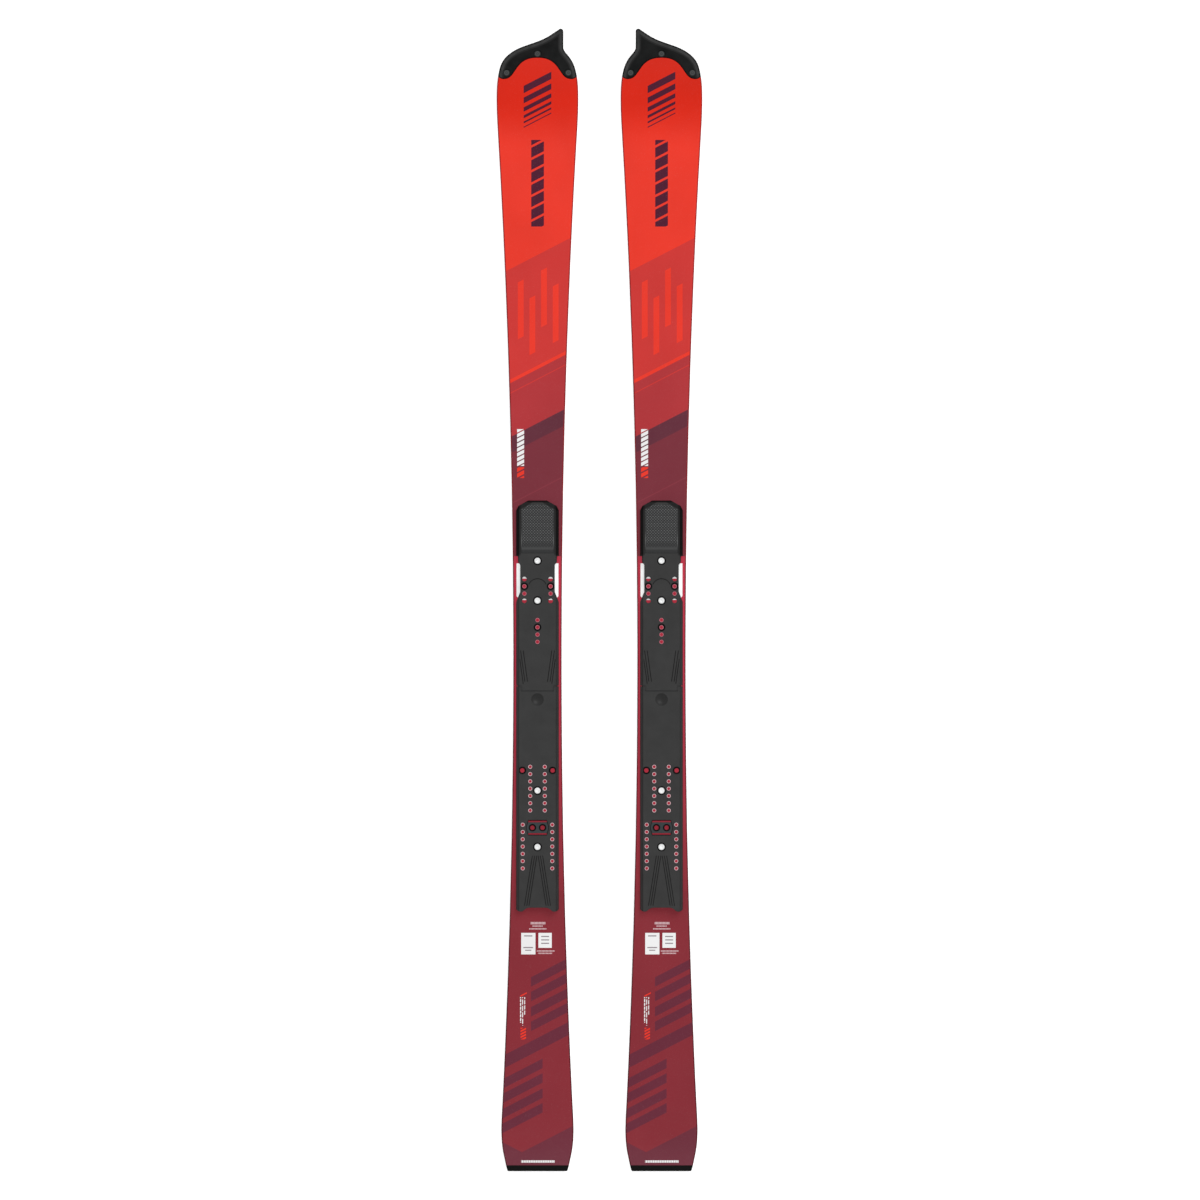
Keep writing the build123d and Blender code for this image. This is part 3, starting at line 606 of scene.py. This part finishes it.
def base_material():
    """Sintered running surface with a stone-ground pattern of fine crossed lines."""
    s = Shader("ground_base", Coat_Weight=0.1, Coat_Roughness=0.25, Specular_IOR_Level=0.45)
    first = s.noise(1.0, 3.0, at=s.scale(2600.0, 40.0, 40.0))
    turned = s.add("ShaderNodeVectorRotate", rotation_type="Z_AXIS")
    s.feed(turned.inputs["Vector"], s.local)
    turned.inputs["Angle"].default_value = math.radians(GRIND_TURN)
    second = s.noise(1.0, 3.0, at=s.vector("MULTIPLY", turned.outputs[0], (2200.0, 30.0, 30.0)))
    lines = s.math("MINIMUM", first, second)
    body = s.mix(s.span(lines, 0.3, 0.6), linear((18, 18, 20)), linear((44, 44, 48)))
    haze = s.span(s.noise(14.0, 4.0), 0.45, 0.75, 0.0, 0.25)
    body = s.mix(haze, body, linear((74, 74, 78)))
    return s.finish(body, s.span(lines, 0.3, 0.6, 0.32, 0.5), s.bump(lines, 0.3, 0.0001))


def wood_material():
    """Core of glued lengthwise strips, two timbers in turn."""
    s = Shader("laminated_core", Specular_IOR_Level=0.3)
    x, _, _ = s.axes()
    strip = s.math("FRACT", s.product(x, STRIP_PAIRS))
    timber = s.math("GREATER_THAN", strip, 0.5)
    rings = s.noise(1.0, 5.0, at=s.scale(420.0, 9.0, 420.0))
    pale = s.mix(s.span(rings, 0.3, 0.7), linear((214, 178, 128)), linear((182, 138, 88)))
    dark = s.mix(s.span(rings, 0.3, 0.7), linear((172, 122, 76)), linear((140, 94, 56)))
    roughness = s.span(rings, 0.3, 0.7, 0.5, 0.7)
    return s.finish(s.mix(timber, pale, dark), roughness, s.bump(rings, 0.2, 0.0002))


def fibre_material():
    """Woven glass set in resin."""
    s = Shader("woven_glass", Coat_Weight=0.3, Coat_Roughness=0.1)
    x, y, _ = s.axes()
    warp = s.math("SINE", s.product(x, WEAVE))
    weft = s.math("SINE", s.product(y, WEAVE))
    weave = s.product(warp, weft)
    body = s.mix(s.span(weave, -1, 1), linear((150, 152, 120)), linear((196, 198, 168)))
    return s.finish(body, s.span(weave, -1, 1, 0.35, 0.5), s.bump(weave, 0.3, 0.0001))


MATERIALS = {
    "base": base_material(),
    "edge_steel": metal("ground_edge_steel", (176, 178, 182), (3000.0, 60.0, 3000.0), 1.0),
    "fibre": fibre_material(),
    "titanal": metal("satin_alloy_sheet", (186, 188, 194), (300.0, 20.0, 300.0), 1.0),
    "core_wood": wood_material(),
    "sidewall": sidewall_material(),
    "spacer": sidewall_material(),
    "protector": protector_plastic(),
    "rivet": rivet_paint(),
    # Painted light: the shim's colour is set past white to make up for the plate's shade over it.
    "shim": plastic("white_shim_plastic", (272, 275, 275), grain=1200.0, depth=0.1, edge_paling=0.02),
    "pad": plastic(
        "black_elastomer", (58, 58, 59), grain=900.0, depth=0.35, edge_paling=0.2, rough=(0.6, 0.75),
    ),
    "plate": plate_plastic("black_plate_plastic", (60, 60, 60), PLATE_TOP),
    "grip": grip_rubber(),
    "guide": plate_plastic("guide_plastic", (60, 66, 68), GUIDE_TOP),
    "fastener": metal("zinc_plated_steel", (264, 265, 265), (900.0,) * 3, 0.15, (0.3, 0.42)),
    "insert": insert_metal(
        "turned_insert_brass", (244, 222, 227), 1.95, 2.5, (10.0, -229.4), (20.3, -309.0),
    ),
}
TOE_INSERT = insert_metal(
    "toe_insert_brass", (226, 150, 164), 2.15, 2.6, (18.0, 18.6), (0.0, -27.7),
)
PRINTS = {side: topsheet_material(side) for side in SIDES}
SLOT_OF = {row["node"]: row["material_slot"] for row in frame["record"]["subparts"]}


def material_of(name):
    """The material of a CAD node: by its slot, but the topsheets and toe inserts have their own."""
    if name.endswith("toe_inserts"):
        return TOE_INSERT
    if SLOT_OF[name] == "topsheet":
        return PRINTS[name.split("_")[0]]
    return MATERIALS[SLOT_OF[name]]


for node_name, cad_node in NODES.items():
    dress(cad_node, material_of(node_name))


# ------------------------------------------------------------------ relief on moulded pieces
SHOVEL_Y = 640.0             # the shovel curves up from here
SHOVEL_LENGTH = 145.0
SHOVEL_TOP = 6.0             # height of its top surface where the curve starts, and its rise
SHOVEL_RISE = 45.0
FACES_UP = 0.4               # least upward part of the normal of a top face
CLEARANCE = 0.5              # between an added point and the outline of a face
TIP_PITCH = 1.4              # grid of added points on the tip protector
TIP_CORNER = (-58, 712)
TIP_ROWS, TIP_COLUMNS = 60, 85
TIP_SPLIT_Y = 719            # the free and the rear edge meet near here
BOSS_STEPS = 40
BOSS_SOFTNESS = 0.5
BAND_STEP = 1.2
GRIP_REAR = 64               # first row of pyramids, and how many there are
GRIP_ROWS, GRIP_HALF_COLUMNS = 36, 12
GRIP_FADE = (66, 80)         # the pyramids are full from the second of these forward
RUN_OUT_Y = (66, 76)         # the pad's rear edge slopes up between these
RUN_OUT_RISE = 0.55


def ramp(value, low, high):
    """0 at low, 1 at high, clamped."""
    return min(1.0, max(0.0, (value - low) / (high - low)))


def chain(edges):
    """Closed loops of vertices, in order, from boundary edges; the longest loop is first."""
    links = {}
    for edge in edges:
        a, b = edge.verts
        links.setdefault(a, []).append(b)
        links.setdefault(b, []).append(a)
    loops = []
    while links:
        start = next(iter(links))
        loop = [start]
        previous, current = start, links[start][0]
        while current is not start:
            loop.append(current)
            options = [v for v in links[current] if v is not previous]
            previous, current = current, options[0]
        for v in loop:
            del links[v]
        loops.append(loop)
    return sorted(loops, key=len, reverse=True)


def inside(point, polygon):
    """True if a point lies in a polygon."""
    x, y = point
    found = False
    for (xa, ya), (xb, yb) in zip(polygon, polygon[1:] + polygon[:1]):
        if (ya > y) != (yb > y) and x < (xb - xa) * (y - ya) / (yb - ya) + xa:
            found = not found
    return found


def distance(point, line):
    """Distance from a point to an open polyline."""
    p = np.array(point)
    a, b = np.array(line[:-1]), np.array(line[1:])
    run = b - a
    t = np.clip(((p - a) * run).sum(1) / np.maximum((run * run).sum(1), 1e-12), 0, 1)
    return float(np.sqrt((((a + run * t[:, None]) - p) ** 2).sum(1).min()))


def on_face(point, outer, holes):
    """True if a point lies within the outer outline and in none of the holes."""
    return inside(point, outer) and not any(inside(point, hole) for hole in holes)


def clear_of(point, lines):
    """True if a point keeps its distance from each closed line."""
    return all(distance(point, line + line[:1]) >= CLEARANCE for line in lines)


def divide(loops, plans, extra):
    """Triangulates a face in plan.

    Gives the points, the triangles between them, and the vertex behind each point, which is None
    for a point that was added.
    """
    outer, holes = plans[0], plans[1:]
    points, edges, owners = [], [], []
    for loop, plan in zip(loops, plans):
        start, count = len(points), len(plan)
        points += plan
        owners += loop
        edges += [(start + i, start + (i + 1) % count) for i in range(count)]
    for point in extra:
        if on_face(point, outer, holes) and clear_of(point, plans):
            points.append(point)
            owners.append(None)
    made = delaunay_2d_cdt([Vector(p) for p in points], edges, [], 0, 1e-5)
    new_points, triangles, origins = made[0], made[2], made[3]
    known = ([owners[i] for i in origin if owners[i] is not None] for origin in origins)
    behind = [verts[0] if verts else None for verts in known]
    kept = []
    for triangle in triangles:
        centre = tuple(sum((new_points[i] for i in triangle), Vector((0, 0))) / 3)
        if on_face(centre, outer, holes):
            kept.append(triangle)
    return new_points, kept, behind


def reshape_top(side, part, name, slot_name, is_top, extra_points, height, marks=()):
    """Copies a CAD node and gives it a new, finely divided top face with the heights given.

    The plan is in millimetres from the ski's centre line, and the right ski's is mirrored.
    Each mark is a name and a measure, kept as an attribute of the points for the material.
    """
    bm = bmesh.new()
    bm.from_mesh(NODES[f"{side}_{part}"].data)
    layers = [(bm.verts.layers.float.new(label), measure) for label, measure in marks]
    bmesh.ops.remove_doubles(bm, verts=bm.verts, dist=1e-6)
    bm.normal_update()
    flat = [
        face for face in bm.faces
        if face.normal.z > FACES_UP and all(is_top(v.co.y / MM, v.co.z / MM) for v in face.verts)
    ]
    bmesh.ops.delete(bm, geom=flat, context="FACES")
    loops = chain([edge for edge in bm.edges if len(edge.link_faces) == 1])
    shift, flip = CENTRE[side], 1.0 if side == "left" else -1.0
    plans = [[(flip * (v.co.x - shift) / MM, v.co.y / MM) for v in loop] for loop in loops]
    outer = plans[0]
    points, triangles, behind = divide(loops, plans, extra_points(outer))
    verts = []
    for point, vert in zip(points, behind):
        if vert is None:
            vert = bm.verts.new((shift + flip * point.x * MM, point.y * MM, 0.0))
        vert.co.z = height(tuple(point), outer) * MM
        for layer, measure in layers:
            vert[layer] = measure(tuple(point), outer)
        verts.append(vert)
    for triangle in triangles:
        corners = [verts[i] for i in triangle]
        if len(set(corners)) == 3 and not bm.faces.get(corners):
            bm.faces.new(corners)
    bmesh.ops.recalc_face_normals(bm, faces=bm.faces)
    mesh = bpy.data.meshes.new(name)
    bm.to_mesh(mesh)
    bm.free()
    for polygon in mesh.polygons:
        polygon.use_smooth = True
    piece = bpy.data.objects.new(name, mesh)
    bpy.context.scene.collection.objects.link(piece)
    dress(piece, MATERIALS[slot_name])
    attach(piece, f"{side}_ski")
    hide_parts(f"{side}_{part}")


# Tip protector: a sloping band round its free edge and round bosses at the rivets.
outer_lines = {}


def edge_lines(outer):
    """The protector's outline in two: round the tip, and along its rear edge."""
    key = (len(outer), outer[0], outer[-1])
    if key not in outer_lines:
        order = range(len(outer))
        first = min(order, key=lambda i: outer[i][0] + 0.2 * abs(outer[i][1] - TIP_SPLIT_Y))
        last = max(order, key=lambda i: outer[i][0] - 0.2 * abs(outer[i][1] - TIP_SPLIT_Y))
        forward = outer[first:last + 1] if first < last else outer[first:] + outer[:last + 1]
        backward = outer[last:first + 1] if last < first else outer[last:] + outer[:first + 1]
        rear, free = sorted((forward, backward), key=lambda line: max(p[1] for p in line))
        outer_lines[key] = (free, rear)
    return outer_lines[key]


def from_free_edge(point, outer):
    return distance(point, edge_lines(outer)[0])


def from_rear_edge(point, outer):
    return distance(point, edge_lines(outer)[1])


def shovel_top(y):
    """Height of the shovel's top surface."""
    return SHOVEL_TOP + SHOVEL_RISE * (max(0.0, y - SHOVEL_Y) / SHOVEL_LENGTH) ** 2


def on_shovel_top(y, z):
    return abs(z - shovel_top(y)) < 0.12


def band_points(line):
    """Points on the inner edge of the sloping band, found by offsetting the free edge."""
    found = []
    for (xa, ya), (xb, yb) in zip(line, line[1:]):
        run = math.dist((xa, ya), (xb, yb))
        if run < 1e-6:
            continue
        steps = max(1, int(run / BAND_STEP))
        for i in range(steps):
            t = (i + 0.5) / steps
            for turn in (-1, 1):
                x = xa + (xb - xa) * t - turn * (yb - ya) / run * BAND_WIDTH
                y = ya + (yb - ya) * t + turn * (xb - xa) / run * BAND_WIDTH
                if abs(distance((x, y), line) - BAND_WIDTH) < 0.05:
                    found.append((x, y))
    return found


def tip_points(outer):
    """A triangular grid, kept off the band's inner edge and the bosses, which get their own."""
    line = edge_lines(outer)[0]
    kept = []
    for row in range(TIP_ROWS):
        for column in range(TIP_COLUMNS):
            x = TIP_CORNER[0] + TIP_PITCH * (column + 0.5 * (row % 2))
            point = (x, TIP_CORNER[1] + TIP_PITCH * row)
            off_band = abs(distance(point, line) - BAND_WIDTH) > 0.6
            if off_band and all(abs(math.dist(point, r) - BOSS_RADIUS) > 0.5 for r in RIVETS):
                kept.append(point)
    for x, y in RIVETS:
        for step in range(BOSS_STEPS):
            turn = 2 * math.pi * step / BOSS_STEPS
            for radius in (BOSS_RADIUS - BOSS_SOFTNESS, BOSS_RADIUS + BOSS_SOFTNESS):
                kept.append((x + radius * math.cos(turn), y + radius * math.sin(turn)))
    return kept + band_points(line)


def tip_height(point, outer):
    away = from_free_edge(point, outer)
    z = shovel_top(point[1]) - BAND_DROP * max(0.0, 1 - away / BAND_WIDTH)
    from_rivet = min(math.dist(point, rivet) for rivet in RIVETS)
    boss = max(0.0, min(1.0, BOSS_RADIUS + BOSS_SOFTNESS - from_rivet))
    return z + BOSS_RISE * boss * min(1.0, away / BAND_WIDTH)


# Grip pad: low pyramids that fade out towards its rear edge. The outline plays no part in it.
def on_grip_top(_y, z):
    return abs(z - GRIP_FLOOR) < 0.02


def lattice_place(column, row):
    return GRIP_PITCH * column, GRIP_REAR + GRIP_PITCH * row


def grip_points(_outer):
    found = []
    for column in range(-GRIP_HALF_COLUMNS, GRIP_HALF_COLUMNS + 1):
        for row in range(GRIP_ROWS):
            x, y = lattice_place(column, row)
            found += [(x, y), (x + GRIP_PITCH / 2, y + GRIP_PITCH / 2)]
    return found


def grip_height(point, _outer):
    x, y = point
    column, row = round(x / GRIP_PITCH), round((y - GRIP_REAR) / GRIP_PITCH)
    is_tip = (column + row) % 2 == 0 and math.dist(point, lattice_place(column, row)) < 0.05
    lift = GRIP_RISE * ramp(y, *GRIP_FADE) if is_tip else 0.0
    run_out = RUN_OUT_RISE * (1.0 - ramp(y, *RUN_OUT_Y))
    return GRIP_FLOOR + max(lift, run_out)


for ski_side in SIDES:
    reshape_top(
        ski_side, "tip_protector", f"{ski_side}_tip_cap", "protector",
        on_shovel_top, tip_points, tip_height,
        (("from_free_edge", from_free_edge), ("from_rear_edge", from_rear_edge)),
    )
    reshape_top(
        ski_side, "grip_pad", f"{ski_side}_grip_relief", "grip",
        on_grip_top, grip_points, grip_height,
    )

# ------------------------------------------------------------------ floor
FLOOR_HALF = 6.0
FLOOR_Z = -0.0003            # just under the bases
FLOOR_DIVISIONS = 12
FLOOR_GLOW = 0.22            # keeps the floor white under the overhead light

floor_mesh = bpy.data.meshes.new("floor")
grid = bmesh.new()
bmesh.ops.create_grid(
    grid, x_segments=FLOOR_DIVISIONS, y_segments=FLOOR_DIVISIONS, size=FLOOR_HALF,
)
grid.to_mesh(floor_mesh)
grid.free()
floor = bpy.data.objects.new("floor", floor_mesh)
floor.location.z = FLOOR_Z
floor.visible_glossy = False
bpy.context.scene.collection.objects.link(floor)


def floor_material():
    """Pale, faintly uneven ground."""
    s = Shader(
        "pale_floor", Specular_IOR_Level=0.1, Emission_Color=(1.0, 1.0, 1.0, 1.0),
        Emission_Strength=FLOOR_GLOW,
    )
    tone = s.span(s.noise(3.0, 3.0), 0.3, 0.7)
    return s.finish(s.mix(tone, (0.93, 0.93, 0.93, 1), (0.95, 0.95, 0.95, 1)), 0.8)


dress(floor, floor_material())

# ------------------------------------------------------------------ light
# Strength of the surroundings by height of the direction: dimmer overhead and below the horizon.
ZENITH = (0.55, 0.95, 0.42, 0.12)
HORIZON = (-0.1, 0.15, 0.15, 1.0)
LAMPS = (
    # name, direction of the light, strength, width in degrees, whether glossy surfaces show it
    ("overhead_light", (0.0, 0.0, -1.0), 2.2, 6, False),
    ("key_light", (-0.38, -0.52, -0.76), 1.0, 40, True),
)

world = bpy.data.worlds.new("studio")
bpy.context.scene.world = world
world.use_nodes = True
tree = world.node_tree
direction = tree.nodes.new("ShaderNodeTexCoord")
split = tree.nodes.new("ShaderNodeSeparateXYZ")
tree.links.new(direction.outputs["Generated"], split.inputs[0])
level = tree.nodes.new("ShaderNodeMath")
level.operation = "MULTIPLY"
for socket, limits, kind in zip(level.inputs, (ZENITH, HORIZON), ("SMOOTHSTEP", "LINEAR")):
    grade = tree.nodes.new("ShaderNodeMapRange")
    grade.interpolation_type = kind
    tree.links.new(split.outputs[2], grade.inputs["Value"])
    for key, limit in zip(("From Min", "From Max", "To Min", "To Max"), limits):
        grade.inputs[key].default_value = limit
    tree.links.new(grade.outputs[0], socket)
background = tree.nodes["Background"]
tree.links.new(level.outputs[0], background.inputs["Strength"])
background.inputs["Color"].default_value = (1.0, 1.0, 1.0, 1)

for lamp_name, towards, strength, spread, in_gloss in LAMPS:
    lamp_data = bpy.data.lights.new(lamp_name, "SUN")
    lamp_data.energy = strength
    lamp_data.angle = math.radians(spread)
    lamp = bpy.data.objects.new(lamp_name, lamp_data)
    lamp.rotation_mode = "QUATERNION"
    lamp.rotation_quaternion = Vector(towards).to_track_quat("-Z", "Y")
    lamp.visible_glossy = in_gloss
    bpy.context.scene.collection.objects.link(lamp)

# ------------------------------------------------------------------ camera
VIEW_WIDTH = 1.649
CAMERA_AT = (0.0007, -0.0002, 3.0)
FARTHEST = 20

camera_data = bpy.data.cameras.new("camera")
camera_data.type = "ORTHO"
camera_data.ortho_scale = VIEW_WIDTH
camera_data.clip_end = FARTHEST
camera = bpy.data.objects.new("camera", camera_data)
camera.location = CAMERA_AT
bpy.context.scene.collection.objects.link(camera)
bpy.context.scene.camera = camera
bpy.context.scene.view_settings.view_transform = "Standard"
